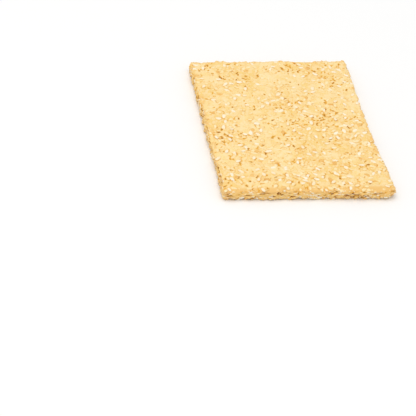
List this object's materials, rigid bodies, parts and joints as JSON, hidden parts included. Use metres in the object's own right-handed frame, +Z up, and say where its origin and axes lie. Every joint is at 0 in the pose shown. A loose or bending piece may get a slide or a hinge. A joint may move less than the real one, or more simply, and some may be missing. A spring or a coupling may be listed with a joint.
{
  "type": "sesame brittle slab",
  "caption": "Thin pale golden slab of pressed sesame seeds in a baked sugar dough, with crumbly cut sides, lying flat.",
  "frame": {"origin": "the surface that the slab rests on, under the middle of its outline", "axes": "+Y along the slab's length, +X along its front edge, +Z up out of its top face"},
  "size_m": [0.0882, 0.1146, 0.006],
  "materials": {
    "baked_sesame": "matt, pale gold, baked sugar dough with whole hulled sesame seeds in it"
  },
  "bodies": {
    "root": {"slab": "baked_sesame"}
  },
  "joints": []
}
